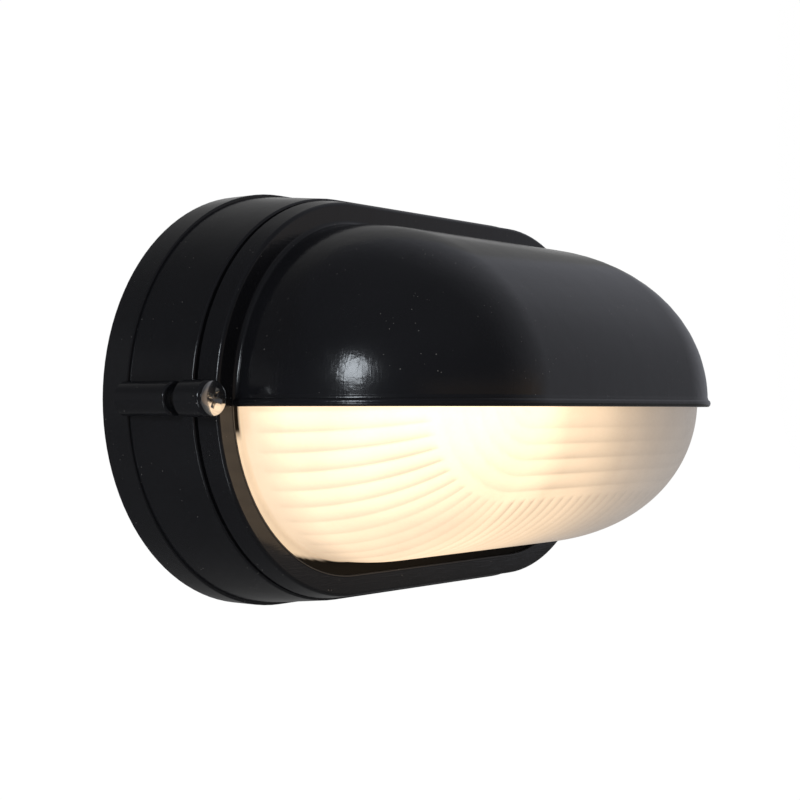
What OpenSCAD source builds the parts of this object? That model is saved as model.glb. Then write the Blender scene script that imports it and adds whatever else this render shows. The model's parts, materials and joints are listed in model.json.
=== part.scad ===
// Oval bulkhead light with a half hood: cast base, gasket, ribbed glass bowl,
// cast cover with its hood, and the lamp, lampholder and wiring inside.
// The wall is the XZ plane, +Z is up and the light reaches out along -Y.
// Modules draw in the light's own layout: x along its length, y up,
// z the depth out of the wall. in_wall_frame() turns that layout upright.

/* [Outline] */
// Distance between the centres of the two round ends
arc_spacing = 89.2; // [84:0.2:110]

/* [Base housing] */
// Half height of the rim that lies on the wall
rim_r = 67.6; // [67:0.2:74]
// Depth of the rim
rim_d = 11; // [8:0.5:14]
// Step from the rim down to the base's wall
rim_step = 0.9; // [0.7:0.1:2]
// Radius on the rim's edges
rim_edge = 0.5; // [0.2:0.1:0.6]
// Depth of the base, from the wall to its gasket
base_d = 35; // [33:0.5:40]
// Lean of the base's wall over its depth
wall_lean = 2.4; // [1:0.1:3]
// Thickness of the base's cast walls
wall_t = 2.6; // [2:0.1:3]
// Thickness of the base's floor
floor_t = 3; // [2.5:0.1:4]
// Depth of the recess behind the floor
back_recess = 1.5; // [1.4:0.1:3]
// Width of the flat land that carries the gasket
land_w = 6.8; // [6.4:0.1:7.4]
// Radius on the base's front edge
base_edge = 0.7; // [0.4:0.1:2]
// Thickness of the ribs behind the land
rib_t = 2; // [1.2:0.1:3]

/* [Wall fixing] */
// Diameter of the two fixing holes
fix_hole_d = 5.5; // [4:0.1:6.5]
// Distance between the fixing holes
fix_spacing = 88; // [84:1:92]
// Diameter of the cable that the entry takes
cable_d = 9; // [6:0.5:11]

/* [Front cover] */
// Inset of the cover from the base's front edge
bezel_inset = 1.8; // [1.6:0.1:2.4]
// Width of the cover's flat face outside the hood
bezel_face = 7.3; // [6:0.1:9]
// Depth of the cover's side
skirt_d = 7.1; // [6.5:0.1:9]
// Thickness of the cover's side
skirt_t = 2.8; // [2.4:0.1:3.2]
// Thickness of the cover's face
bezel_t = 2.6; // [2:0.1:3]
// Radius on the cover's front edge
bezel_edge = 1.2; // [0.4:0.1:2]
// Gap by which the lower opening clears the hood's line
opening_ease = 0.5; // [0:0.1:1]

/* [Hood] */
// Reach of the hood in front of the cover's face
hood_d = 72.5; // [68:0.5:90]
// Thickness of the hood
hood_t = 2.2; // [2:0.1:3]
// Roundness of the hood: 2 is an ellipse, more is squarer
hood_power = 2.1; // [2:0.05:2.4]
// Drop of the hood's lower edge below the middle
hood_drop = 2.2; // [1:0.1:4]
// Height of the bead along the hood's edge
bead_h = 2.2; // [1.6:0.1:4]
// Stand of the bead off the hood
bead_proud = 0.8; // [0.3:0.1:1.2]
// Fillet at the hood's foot
hood_fillet = 1.5; // [0.5:0.1:2.5]

/* [Glass] */
// Gap between the glass and the hood at its foot
glass_gap = 1.6; // [1.4:0.1:3]
// Gap between the glass and the hood at its nose
nose_gap = 2; // [1.8:0.1:4]
// Thickness of the glass
glass_t = 4; // [3.5:0.1:4.5]
// Spacing of the flutes around the bowl
flute_pitch = 5.9; // [4.5:0.1:9]
// Depth of the flutes
flute_h = 0.8; // [0.3:0.1:1.2]
// Half height of the ringed panel at the bowl's front
panel_r = 32.5; // [28:0.5:36]
// Spacing of the rings on the front panel
ring_pitch = 5; // [4:0.1:7]

/* [Fasteners] */
// Diameter of the cover screws
screw_d = 5; // [4:0.1:5]
// Length of the cover screws under the head
screw_len = 30; // [27:0.5:31]
// Diameter of the cover screws' heads
head_d = 10; // [8:0.1:10.4]
// Diameter of the base's screw bosses
boss_d = 10.4; // [9:0.1:11]
// Diameter of the cover's ears
ear_d = 10.8; // [10:0.1:11.4]
// Stand of the screw axis off the base's front edge
screw_stand = 3.3; // [3:0.1:3.6]
// Diameter of the small screws inside
small_screw_d = 4; // [3:0.1:4]

/* [Lamp] */
// Diameter of the lamp's globe
globe_d = 60; // [50:1:64]
// Length of the lamp
lamp_len = 104; // [95:1:110]
// Diameter of the lamp's screw cap
cap_d = 26.2; // [25:0.1:26.6]
// Gap between the globe and the floor
lamp_clear = 5.5; // [4:0.1:8]
// Diameter of the lampholder
holder_d = 37; // [36:0.5:39]
// Length of the lampholder
holder_len = 40; // [38:0.5:44]
// Thickness of the lampholder's bracket
bracket_t = 1.6; // [1:0.1:2]
// Diameter of the inner leads
lead_d = 2.2; // [1.8:0.1:2.4]

/* [Hidden] */
$fn = 64;

// Clearances
play = 0.3;
slide = 0.1;
over = 1;

// Radii and depths of the base
half_straight = arc_spacing / 2;
wall_foot_r = rim_r - rim_step;
wall_front_r = wall_foot_r - wall_lean;
tub_r = wall_front_r - land_w;
tub_draft = 0.4;
tub_back_r = tub_r - tub_draft;
floor_back = back_recess;
floor_front = back_recess + floor_t;
land_t = wall_t + 0.9;
channel_d = base_d - land_t;
channel_front_r = wall_front_r - wall_t + 0.2;
rib_back = 4;
rib_bite = 0.6;
blind_t = 1;

// Gasket, cover and hood
gasket_t = 1.1;
skirt_back = base_d + gasket_t;
bezel_front = skirt_back + skirt_d;
bezel_r = wall_front_r - bezel_inset;
skirt_draft = 1;
skirt_in_r = bezel_r + skirt_draft - skirt_t;
gasket_set = 0.4;
gasket_grip = 1.2;
gasket_in_r = tub_r + gasket_set;
gasket_out_r = skirt_in_r + gasket_grip;
hood_r = bezel_r - bezel_face;
hood_in_r = hood_r - hood_t;
opening_r = hood_r + opening_ease;

// Glass
glass_r = hood_in_r - glass_gap;
glass_in_r = glass_r - glass_t;
glass_d = hood_d - hood_t - nose_gap;
glass_in_d = glass_d - glass_t;
glass_side_gap = 0.5;
glass_front_gap = 0.2;
glass_rim_r = skirt_in_r - glass_side_gap;
glass_rim_t = skirt_d - bezel_t - glass_front_gap;
bowl_power = hood_power + 0.1;
flute_start = 8;
flute_share = 0.6;
ring_share = 0.5;
rings = floor((panel_r - ring_pitch) / ring_pitch);

// Screw axis, bosses and ears
screw_r = wall_front_r + screw_stand;
boss_short = 3.2;
boss_front = base_d - boss_short;
boss_edge = 0.8;
ear_gap = 0.9;
ear_proud = 3.1;
ear_edge = 1.6;
ear_back = base_d + ear_gap;
ear_front = bezel_front + ear_proud;
head_h = 1.8;
tapped_depth = 17;

// Wall fixing and cable entry
pad_r = 7;
entry_in = 29.7;
entry_x = -half_straight - tub_back_r + entry_in;
entry_r = cable_d / 2 + 6;
grommet_lip = 2.5;
grommet_back_t = back_recess - 0.2;
grommet_lip_h = 1.8;
grommet_nose_h = 4;

// Lamp and lampholder
globe_r = globe_d / 2;
cap_r = cap_d / 2;
holder_r = holder_d / 2;
lamp_axis = floor_front + lamp_clear + globe_r;
holder_clear = 1.6;
holder_back_x = half_straight + sqrt(pow(glass_in_r - holder_clear, 2) - pow(holder_r, 2));
holder_web = 10;
bore_end_x = holder_back_x - holder_web;
bore_r = cap_r + 1.9;
holder_chamfer = 1;
shell_len = 24;
shell_in_r = cap_r + 0.4;
shell_lip = 3;
shell_t = 1;
contact_h = 4;
contact_t = 0.8;
contact_w = 6;
lamp_end_x = bore_end_x - contact_h;
holder_screw_off = 11;
holder_screw_in = 7;
terminal_y = 13.5;
terminal_screw_r = 1.5;
terminal_screw_len = 6;
terminal_head_r = 2.7;
terminal_head_h = 2;
terminal_screw_off = 0;
terminal_lead_off = -7;
lead_in = 5;

// Bracket, its posts and the small screws
bracket_half = 9;
post_top = floor_front + 3.5;
post_r = 4;
post_y = 5;
post_screw_in = 4.5;
foot_clear = 1.5;
foot_x = holder_back_x + bracket_t;
foot_end_x = half_straight + sqrt(pow(tub_back_r, 2) - pow(bracket_half, 2)) - foot_clear;
post_x = (foot_x + foot_end_x) / 2 + 0.6;
small_r = small_screw_d / 2;
small_hole_r = small_r + slide;
small_head_r = small_r * 1.75;
small_head_h = 2.4;

// Leads: the floor carries them at this depth
lead_r = lead_d / 2;
lead_floor = floor_front + lead_r + play;
lead_bend = 5;
lane_up = 16.1;
lead_lane = lane_up - tub_back_r;
lead_sides = 8;
lead_steps = 3;

// Terminal block and earth point
pole_pitch = 11;
pole_w = 6.8;
block_screw_r = 1.2;
block_screw_len = 6;
block_head_r = 1.95;
poles = 3;
block_in = 49.7;
block_up = 31.1;
block_x = -half_straight - tub_back_r + block_in;
block_y = block_up - tub_back_r;
block_len = poles * pole_pitch;
block_w = 17;
block_base_h = 9;
bar_h = 3;
bar_inset = 2;
tower_h = 15;
driver_r = 1.8;
clamp_r = 1.5;
clamp_len = 6;
clamp_slot_w = 0.7;
clamp_slot_d = 1;
tower_off = 4.6;
insert_r = 2.4;
insert_bore_r = 1.5;
insert_axis = floor_front + 5.5;
earth_in = 17.7;
earth_up = 40.1;
earth_x = -half_straight - tub_back_r + earth_in;
earth_y = earth_up - tub_back_r;
earth_post_r = 4.5;
ring_t = 0.8;
washer_t = 0.9;
barrel_r = lead_r + 0.9;
barrel_axis = post_top + barrel_r;
barrel_end = 13;
barrel_len = 7;
barrel_in = 5;
ring_neck_half = 1.5;

// Points along an arc of a profile
function arc(c, r, from, to, n = 5) =
    [for (i = [0:n]) let (a = from + (to - from) * i / n) c + r * [cos(a), sin(a)]];

// Points along a quarter bowl from its rim (0 degrees) to its nose (90 degrees)
function bowl(r, d, z0, power, from = 0, to = 90, n = 14) =
    [for (i = [0:n]) let (a = from + (to - from) * i / n)
        [r * pow(abs(cos(a)), 2 / power), z0 + d * pow(sin(a), 2 / power)]];

function backwards(list) = [for (i = [len(list) - 1:-1:0]) list[i]];
function unit(v) = v / norm(v);

// Turns the light's own layout upright on the wall
module in_wall_frame() {
    rotate([90, 0, 0]) children();
}

// Runs a half profile of [radius, depth] round the oval outline
module oval(profile) {
    for (side = [-1, 1])
        translate([side * half_straight, 0, 0])
            rotate([0, 0, -side * 90])
                rotate_extrude(angle = 180) polygon(profile);
    for (side = [-1, 1])
        rotate([90, 0, 90])
            linear_extrude(arc_spacing, center = true)
                polygon([for (p = profile) [side * p[0], p[1]]]);
}

// Flat oval plate from depth z0 to z1
module oval_plate(r, z0, z1) {
    oval([[0, z0], [r, z0], [r, z1], [0, z1]]);
}

// Draws its children at both ends, with -x towards the oval's middle
module at_both_ends(r) {
    for (side = [0, 1])
        mirror([side, 0, 0])
            translate([half_straight + r, 0, 0]) children();
}

// Turned piece along the depth axis, from [radius, depth] points
module turned(profile) {
    rotate_extrude() polygon(profile);
}

// Turned piece along +x on the lamp's axis, from [radius, x] points
module on_lamp_axis(profile) {
    translate([0, 0, lamp_axis])
        rotate([0, 90, 0])
            rotate_extrude() polygon(profile);
}

// Pan head screw with a cross recess: its seat at z = 0, its shank below
module pan_screw(shank_r, shank_len, head_r, head_h) {
    slot_w = head_r * 0.22;
    slot_len = head_r * 1.1;
    crown = head_h * 0.55;
    flat = 0.62;
    difference() {
        turned(concat([[0, -shank_len], [shank_r - 0.5, -shank_len], [shank_r, 0.5 - shank_len],
            [shank_r, 0], [head_r, 0]],
            [for (a = [0:15:90]) [head_r * (flat + (1 - flat) * cos(a)), head_h - crown + crown * sin(a)]],
            [[0, head_h]]));
        for (turn = [0, 90])
            rotate([0, 0, turn])
                translate([-slot_len / 2, -slot_w / 2, head_h - crown])
                    cube([slot_len, slot_w, crown + over]);
    }
}

// Round tube swept along a route of points
module lead(route) {
    path = smooth(route);
    n = len(path);
    tangents = [for (i = [0:n - 1]) unit(path[min(i + 1, n - 1)] - path[max(i - 1, 0)])];
    first = unit(cross(tangents[0], abs(tangents[0][2]) < 0.8 ? [0, 0, 1] : [1, 0, 0]));
    sides = carried(tangents, first);
    points = [for (i = [0:n - 1]) for (k = [0:lead_sides - 1])
        let (a = 360 * k / lead_sides)
            path[i] + lead_r * (cos(a) * sides[i] + sin(a) * cross(tangents[i], sides[i]))];
    walls = [for (i = [0:n - 2]) for (k = [0:lead_sides - 1])
        let (j = (k + 1) % lead_sides, row = i * lead_sides)
            [row + k, row + lead_sides + k, row + lead_sides + j, row + j]];
    start = [for (k = [0:lead_sides - 1]) k];
    end = [for (k = [lead_sides - 1:-1:0]) (n - 1) * lead_sides + k];
    polyhedron(points, concat(walls, [start, end]));
}

// Smooth curve through the points of a route
function smooth(route) =
    let (n = len(route))
    concat([for (i = [0:n - 2]) for (k = [0:lead_steps - 1])
        curve_point(route[max(i - 1, 0)], route[i], route[i + 1], route[min(i + 2, n - 1)],
            k / lead_steps)], [route[n - 1]]);
function curve_point(a, b, c, d, t) =
    0.5 * (2 * b + (c - a) * t + (2 * a - 5 * b + 4 * c - d) * t * t
        + (3 * b - a - 3 * c + d) * t * t * t);

// Side vectors carried along a path without twist
function carried(tangents, side, i = 0) =
    i >= len(tangents) ? [] :
    let (next = unit(side - (side * tangents[i]) * tangents[i]))
    concat([next], carried(tangents, next, i + 1));

// Cast base: rim, leaning wall, land, tub and the channel behind the land
module base_housing() {
    color([0.09, 0.09, 0.1]) in_wall_frame() difference() {
        union() {
            oval(concat([[rim_r - wall_t, 0]], arc([rim_r - rim_edge, rim_edge], rim_edge, -90, 0, 3),
                arc([rim_r - rim_edge, rim_d - rim_edge], rim_edge, 0, 90, 3), [[wall_foot_r, rim_d]],
                arc([wall_front_r - base_edge, base_d - base_edge], base_edge, 0, 90),
                [[tub_r, base_d], [tub_back_r, floor_front], [0, floor_front], [0, floor_back],
                [tub_back_r + wall_t, floor_back], [tub_r + wall_t, channel_d],
                [channel_front_r, channel_d]]));
            base_ribs();
            at_both_ends(screw_r)
                turned(concat([[0, rim_d], [boss_d / 2, rim_d]],
                    arc([boss_d / 2 - boss_edge, boss_front - boss_edge], boss_edge, 0, 90),
                    [[0, boss_front]]));
            for (side = [-1, 1])
                translate([0, side * fix_spacing / 2, 0]) cylinder(r = pad_r, h = floor_front);
            for (side = [-1, 1])
                translate([post_x, side * post_y, floor_back])
                    cylinder(r = post_r, h = post_top - floor_back);
            translate([earth_x, earth_y, floor_back])
                cylinder(r = earth_post_r, h = post_top - floor_back);
            for (x = block_screw_xs())
                translate([x, block_y, 0]) cylinder(r = post_r, h = floor_front);
        }
        at_both_ends(screw_r)
            translate([0, 0, boss_front - tapped_depth])
                cylinder(d = screw_d + 2 * slide, h = tapped_depth + base_d - boss_front + over);
        for (side = [-1, 1])
            translate([0, side * fix_spacing / 2, -over])
                cylinder(d = fix_hole_d, h = floor_front + 2 * over);
        translate([entry_x, 0, -over]) cylinder(r = entry_r, h = floor_front + 2 * over);
        for (side = [-1, 1])
            translate([post_x, side * post_y, floor_back + blind_t]) cylinder(r = small_hole_r, h = post_top);
        translate([earth_x, earth_y, floor_back + blind_t]) cylinder(r = small_hole_r, h = post_top);
        for (x = block_screw_xs())
            translate([x, block_y, blind_t]) cylinder(r = block_screw_r + slide, h = floor_front);
    }
}

// Ribs that tie the base's wall to its tub, seen from behind
module base_ribs() {
    rib = [[tub_back_r + rib_bite, rib_back], [rim_r - wall_t, rib_back],
        [channel_front_r + rib_bite, channel_d + rib_bite], [tub_r + rib_bite, channel_d + rib_bite]];
    for (side = [-1, 1])
        for (x = [-1, 0, 1])
            translate([x * half_straight * 0.7, 0, 0])
                rotate([90, 0, 90])
                    linear_extrude(rib_t, center = true)
                        polygon([for (p = rib) [side * p[0], p[1]]]);
    for (end = [-1, 1])
        for (turn = [-45, 45])
            translate([end * half_straight, 0, 0])
                rotate([0, 0, turn + (end > 0 ? 0 : 180)])
                    rotate([90, 0, 0])
                        linear_extrude(rib_t, center = true) polygon(rib);
}

// Rubber grommet in the cable entry, its groove round the floor
module cable_grommet() {
    neck_r = entry_r - slide;
    lip_r = entry_r + grommet_lip;
    tip_r = cable_d / 2 + 2;
    color([0.12, 0.12, 0.12]) in_wall_frame()
        translate([entry_x, 0, 0])
            turned([[cable_d / 2, floor_back - grommet_back_t], [lip_r, floor_back - grommet_back_t],
                [lip_r, floor_back], [neck_r, floor_back], [neck_r, floor_front], [lip_r, floor_front],
                [lip_r - 0.6, floor_front + grommet_lip_h], [tip_r, floor_front + grommet_nose_h],
                [cable_d / 2, floor_front + grommet_nose_h]]);
}

// Flat rubber ring between the base, the glass and the cover
module cover_gasket() {
    color([0.06, 0.06, 0.06]) in_wall_frame()
        oval([[gasket_in_r, base_d], [gasket_out_r, base_d], [gasket_out_r, skirt_back],
            [gasket_in_r, skirt_back]]);
}

// Pressed glass bowl: smooth outside, fluted inside, with rings on its front
module glass_bowl() {
    color([0.95, 0.92, 0.84, 0.7]) in_wall_frame() difference() {
        oval(concat([[glass_in_r, skirt_back], [glass_rim_r, skirt_back],
            [glass_rim_r, skirt_back + glass_rim_t], [glass_r, skirt_back + glass_rim_t]],
            bowl(glass_r, glass_d, bezel_front, bowl_power),
            backwards(bowl(glass_in_r, glass_in_d, bezel_front, bowl_power))));
        glass_flutes();
        glass_rings();
    }
}

// Angle along the inner bowl at which its radius has come down to r
function bowl_angle(r) = acos(pow(r / glass_in_r, bowl_power / 2));

// Thin strip along the inner bowl, cut into the glass by depth flute_h
function flute_strip(from, to, n) = concat(
    bowl(glass_in_r + flute_h, glass_in_d + flute_h, bezel_front, bowl_power, from, to, n),
    backwards(bowl(glass_in_r - 0.5, glass_in_d - 0.5, bezel_front, bowl_power, from, to, n)));

// Flutes down the side of the bowl, from near its rim to the front panel
module glass_flutes() {
    strip = flute_strip(flute_start, bowl_angle(panel_r), 6);
    end_flutes = round(PI * glass_in_r / flute_pitch);
    side_flutes = round(arc_spacing / flute_pitch);
    turn = 180 / end_flutes;
    step = arc_spacing / side_flutes;
    for (end = [-1, 1])
        for (i = [0:end_flutes - 1])
            translate([end * half_straight, 0, 0])
                rotate([0, 0, -90 * end + (i + (1 - flute_share) / 2) * turn])
                    rotate_extrude(angle = turn * flute_share) polygon(strip);
    for (side = [-1, 1])
        for (i = [0:side_flutes - 1])
            translate([(i + 0.5) * step - half_straight, 0, 0])
                rotate([90, 0, 90])
                    linear_extrude(step * flute_share, center = true)
                        polygon([for (p = strip) [side * p[0], p[1]]]);
}

// Nested oval grooves on the inside of the front panel
module glass_rings() {
    for (k = [1:rings])
        let (mid = panel_r - k * ring_pitch, half = ring_pitch * ring_share / 2)
            oval(flute_strip(bowl_angle(mid + half), bowl_angle(mid - half), 1));
}

// Cast cover: bezel, half hood with its bead, and the two screw ears
module front_cover() {
    color([0.08, 0.08, 0.09]) in_wall_frame() difference() {
        union() {
            difference() {
                oval(concat([[hood_in_r, bezel_front], [hood_in_r, bezel_front - bezel_t],
                    [skirt_in_r, bezel_front - bezel_t], [skirt_in_r, skirt_back],
                    [bezel_r + skirt_draft, skirt_back]],
                    arc([bezel_r - bezel_edge, bezel_front - bezel_edge], bezel_edge, 0, 90)));
                below_hood() oval_plate(opening_r, skirt_back, bezel_front + over);
            }
            above_hood_edge() hood_shell();
            hood_bead(bead_proud * 0.5, 0);
            hood_bead(bead_proud, bead_h * 0.22);
            at_both_ends(screw_r) cover_ear();
        }
        at_both_ends(screw_r)
            translate([0, 0, ear_back - over])
                cylinder(d = screw_d + 2 * play, h = ear_front - ear_back + 2 * over);
    }
}

// Half dome with a fillet at its foot
module hood_shell() {
    foot_angle = asin(pow(hood_fillet / hood_d, hood_power / 2));
    oval(concat([[hood_in_r, bezel_front - bezel_t / 2], [hood_r + hood_fillet, bezel_front - bezel_t / 2]],
        arc([hood_r + hood_fillet, bezel_front + hood_fillet], hood_fillet, 270, 180, 4),
        bowl(hood_r, hood_d, bezel_front, hood_power, foot_angle, 90, 20),
        backwards(bowl(hood_in_r, hood_d - hood_t, bezel_front, hood_power, 0, 90, 20))));
}

// Bead along the hood's lower edge, inset from its height at both sides
module hood_bead(proud, inset) {
    reach = 2 * (half_straight + rim_r);
    intersection() {
        oval(concat(bowl(hood_r + proud, hood_d + proud, bezel_front, hood_power, 0, 90, 20),
            backwards(bowl(hood_in_r, hood_d - hood_t, bezel_front, hood_power, 0, 90, 20))));
        translate([-reach / 2, inset - hood_drop, 0])
            cube([reach, bead_h - 2 * inset, bezel_front + hood_d + 2 * proud]);
    }
}

module above_hood_edge() {
    reach = 2 * (half_straight + rim_r);
    intersection() {
        children();
        translate([-reach / 2, -hood_drop, 0]) cube([reach, rim_r, bezel_front + hood_d + over]);
    }
}

module below_hood() {
    reach = 2 * (half_straight + rim_r);
    intersection() {
        children();
        translate([-reach / 2, -rim_r - hood_drop, 0]) cube([reach, rim_r, bezel_front + 2 * over]);
    }
}

// Round ear for a cover screw, with a web into the cover's side
module cover_ear() {
    web_half = ear_d * 0.36;
    web_reach = screw_r - skirt_in_r - 1;
    turned(concat([[0, ear_back], [ear_d / 2, ear_back]],
        arc([ear_d / 2 - ear_edge, ear_front - ear_edge], ear_edge, 0, 90), [[0, ear_front]]));
    translate([-web_reach, -web_half, skirt_back])
        cube([web_reach, 2 * web_half, skirt_d - bezel_edge]);
}

module cover_screws() {
    color([0.8, 0.8, 0.8]) in_wall_frame()
        at_both_ends(screw_r)
            translate([0, 0, ear_front]) pan_screw(screw_d / 2, screw_len, head_d / 2, head_h);
}

// Porcelain body: open towards the lamp, with a web behind its bore
module lampholder_body() {
    front_x = holder_back_x - holder_len;
    waist_r = holder_r - holder_chamfer;
    color([0.93, 0.92, 0.88]) in_wall_frame() difference() {
        on_lamp_axis([[bore_r, front_x], [waist_r, front_x], [holder_r, front_x + holder_chamfer],
            [holder_r, bore_end_x - holder_chamfer], [waist_r, bore_end_x],
            [waist_r, holder_back_x - holder_chamfer], [waist_r - holder_chamfer, holder_back_x],
            [0, holder_back_x], [0, bore_end_x], [bore_r, bore_end_x]]);
        on_holder_back(holder_screw_spots()) cylinder(r = small_hole_r, h = holder_screw_in + 2 * over);
        on_holder_back(terminal_spots(terminal_screw_off))
            cylinder(r = terminal_screw_r + slide, h = terminal_screw_len + over);
        on_holder_back(terminal_spots(terminal_lead_off)) cylinder(r = lead_r + play, h = lead_in + over);
    }
}

function holder_screw_spots() = [for (side = [-1, 1]) [0, lamp_axis + side * holder_screw_off]];
function terminal_spots(off) = [for (side = [-1, 1]) [side * terminal_y, lamp_axis + off]];

// Places children at [y, z] spots on the holder's back, z pointing into it
module on_holder_back(spots) {
    for (s = spots)
        translate([holder_back_x, s[0], s[1]]) rotate([0, -90, 0]) children();
}

module lampholder_shell() {
    color([0.8, 0.7, 0.42]) in_wall_frame()
        on_lamp_axis([[shell_in_r, bore_end_x - shell_len], [bore_r - play, bore_end_x - shell_len],
            [bore_r - play, bore_end_x], [shell_in_r - shell_lip, bore_end_x],
            [shell_in_r - shell_lip, bore_end_x - shell_t], [shell_in_r, bore_end_x - shell_t]]);
}

// Sprung strip at the bottom of the holder, folded back towards the lamp
module centre_contact() {
    arm = 4;
    rise = contact_h - play;
    color([0.78, 0.65, 0.35]) in_wall_frame()
        translate([bore_end_x, 0, lamp_axis])
            rotate([90, 0, 0])
                linear_extrude(contact_w, center = true)
                    polygon([[0, -arm], [0, arm], [-contact_t, arm], [-contact_t, contact_t - arm],
                        [contact_t - rise, contact_t - arm], [contact_t - rise, arm - 1],
                        [-rise, arm - 1], [-rise, -arm]]);
}

module holder_terminal_screws() {
    color([0.8, 0.7, 0.42]) in_wall_frame()
        on_holder_back(terminal_spots(terminal_screw_off))
            mirror([0, 0, 1])
                pan_screw(terminal_screw_r, terminal_screw_len, terminal_head_r, terminal_head_h);
}

// Folded steel bracket: upright behind the holder, foot on the posts
module lampholder_bracket() {
    color([0.72, 0.73, 0.75]) in_wall_frame() difference() {
        union() {
            translate([holder_back_x, -bracket_half, post_top])
                cube([bracket_t, 2 * bracket_half, lamp_axis - post_top + holder_screw_off]);
            translate([holder_back_x, 0, lamp_axis + holder_screw_off])
                rotate([0, 90, 0]) cylinder(r = bracket_half, h = bracket_t);
            translate([holder_back_x, -bracket_half, post_top])
                cube([foot_end_x - holder_back_x, 2 * bracket_half, bracket_t]);
        }
        on_holder_back(holder_screw_spots())
            translate([0, 0, -bracket_t - over]) cylinder(r = small_r + play, h = bracket_t + 2 * over);
        for (side = [-1, 1])
            translate([post_x, side * post_y, post_top - over])
                cylinder(r = small_r + play, h = bracket_t + 2 * over);
    }
}

module bracket_screws() {
    color([0.75, 0.75, 0.77]) in_wall_frame()
        for (side = [-1, 1])
            translate([post_x, side * post_y, post_top + bracket_t])
                pan_screw(small_r, bracket_t + post_screw_in, small_head_r, small_head_h);
}

module holder_screws() {
    color([0.75, 0.75, 0.77]) in_wall_frame()
        on_holder_back(holder_screw_spots())
            translate([0, 0, -bracket_t])
                mirror([0, 0, 1])
                    pan_screw(small_r, bracket_t + holder_screw_in, small_head_r, small_head_h);
}

// Lamp, one sealed piece: contact, cap, neck and globe
module bulb() {
    tip_r = 5;
    tip_h = 1.5;
    taper_h = 5;
    cap_start = 6.5;
    cap_h = 25;
    neck_r = cap_r + 0.9;
    flare_start = cap_h + 6;
    globe_x = lamp_len - globe_r;
    flare = [for (i = [0:8]) let (t = i / 8)
        [neck_r + (globe_r - neck_r) * t * t * (3 - 2 * t), flare_start + (globe_x - flare_start) * t]];
    globe = [for (i = [1:9]) [globe_r * cos(10 * i), globe_x + globe_r * sin(10 * i)]];
    shape = concat([[0, 0], [tip_r, 0], [tip_r, tip_h], [cap_r - tip_r / 2, taper_h], [cap_r, cap_start],
        [cap_r, cap_h], [neck_r, cap_h]], flare, globe);
    color([1, 0.97, 0.88]) in_wall_frame()
        on_lamp_axis([for (p = shape) [p[0] < 0.001 ? 0 : p[0], lamp_end_x - p[1]]]);
}

function pole_x(i) = block_x + (i - (poles - 1) / 2) * pole_pitch;
function block_screw_xs() = [for (i = [0:poles - 2]) (pole_x(i) + pole_x(i + 1)) / 2];

// Moulded strip: one bar, with two screw towers at each pole
module terminal_block() {
    color([0.94, 0.93, 0.9]) in_wall_frame() difference() {
        union() {
            translate([block_x - block_len / 2, block_y - block_w / 2 + bar_inset, floor_front])
                cube([block_len, block_w - 2 * bar_inset, bar_h]);
            for (i = [0:poles - 1])
                translate([pole_x(i) - pole_w / 2, block_y - block_w / 2, floor_front])
                    cube([pole_w, block_w, block_base_h]);
            for (i = [0:poles - 1])
                at_towers(i) cylinder(d = pole_w, h = tower_h);
        }
        for (i = [0:poles - 1])
            translate([pole_x(i), block_y, insert_axis])
                rotate([90, 0, 0]) cylinder(r = insert_r + slide, h = block_w + 2 * over, center = true);
        for (i = [0:poles - 1])
            at_towers(i) translate([0, 0, bar_h]) cylinder(r = driver_r, h = tower_h);
        for (x = block_screw_xs())
            translate([x, block_y, floor_front - over]) cylinder(r = block_screw_r + play, h = tower_h);
    }
}

module at_towers(i) {
    for (side = [-1, 1])
        translate([pole_x(i), block_y + side * tower_off, floor_front]) children();
}

// Brass tubes inside the block, tapped for the clamping screws
module terminal_inserts() {
    color([0.8, 0.68, 0.38]) in_wall_frame() difference() {
        for (i = [0:poles - 1])
            translate([pole_x(i), block_y, insert_axis])
                rotate([90, 0, 0]) cylinder(r = insert_r, h = block_w - bar_inset, center = true);
        for (i = [0:poles - 1])
            translate([pole_x(i), block_y, insert_axis])
                rotate([90, 0, 0]) cylinder(r = insert_bore_r, h = block_w + over, center = true);
        for (i = [0:poles - 1])
            at_towers(i)
                translate([0, 0, insert_axis - floor_front]) cylinder(r = clamp_r + slide, h = tower_h);
    }
}

module terminal_screws() {
    color([0.78, 0.76, 0.7]) in_wall_frame()
        for (i = [0:poles - 1])
            at_towers(i)
                translate([0, 0, insert_axis - floor_front + insert_bore_r + play])
                    difference() {
                        cylinder(r = clamp_r, h = clamp_len);
                        translate([-driver_r, -clamp_slot_w / 2, clamp_len - clamp_slot_d])
                            cube([2 * driver_r, clamp_slot_w, clamp_slot_d + over]);
                    }
}

module block_screws() {
    color([0.75, 0.75, 0.77]) in_wall_frame()
        for (x = block_screw_xs())
            translate([x, block_y, floor_front + bar_h])
                pan_screw(block_screw_r, block_screw_len, block_head_r, small_head_h * 0.7);
}

module earth_screw() {
    color([0.8, 0.7, 0.42]) in_wall_frame()
        translate([earth_x, earth_y, post_top + ring_t + washer_t])
            pan_screw(small_r, ring_t + washer_t + post_screw_in, small_head_r, small_head_h);
}

module earth_washer() {
    color([0.8, 0.7, 0.42]) in_wall_frame()
        translate([earth_x, earth_y, post_top + ring_t])
            turned([[small_r + slide, 0], [small_head_r + 0.6, 0], [small_head_r + 0.6, washer_t],
                [small_r + slide, washer_t]]);
}

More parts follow.
